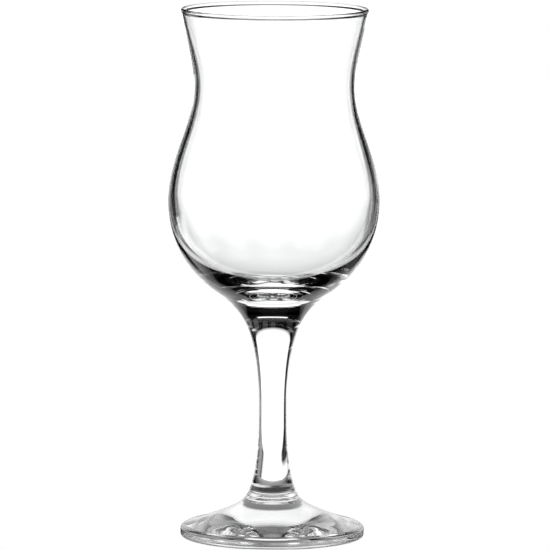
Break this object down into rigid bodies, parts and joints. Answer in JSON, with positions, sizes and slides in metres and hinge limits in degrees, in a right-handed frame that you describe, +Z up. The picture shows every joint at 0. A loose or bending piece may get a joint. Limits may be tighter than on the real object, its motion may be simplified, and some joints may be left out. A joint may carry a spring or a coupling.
{
  "type": "poco grande glass",
  "caption": "Clear stemmed cocktail glass with a flared mouth, a drawn-in waist, a round belly, a solid waisted stem and a broad conical foot.",
  "frame": {"origin": "centre of the foot's underside, on the table", "axes": "+Z up along the glass's axis, from the foot to the mouth; +X and +Y are alike"},
  "size_m": [0.082, 0.082, 0.205],
  "materials": {
    "clear_glass": "clear colourless soda-lime glass, fire polished and smooth all over"
  },
  "bodies": {
    "root": {"foot": "clear_glass", "stem": "clear_glass", "bowl": "clear_glass"}
  },
  "joints": []
}
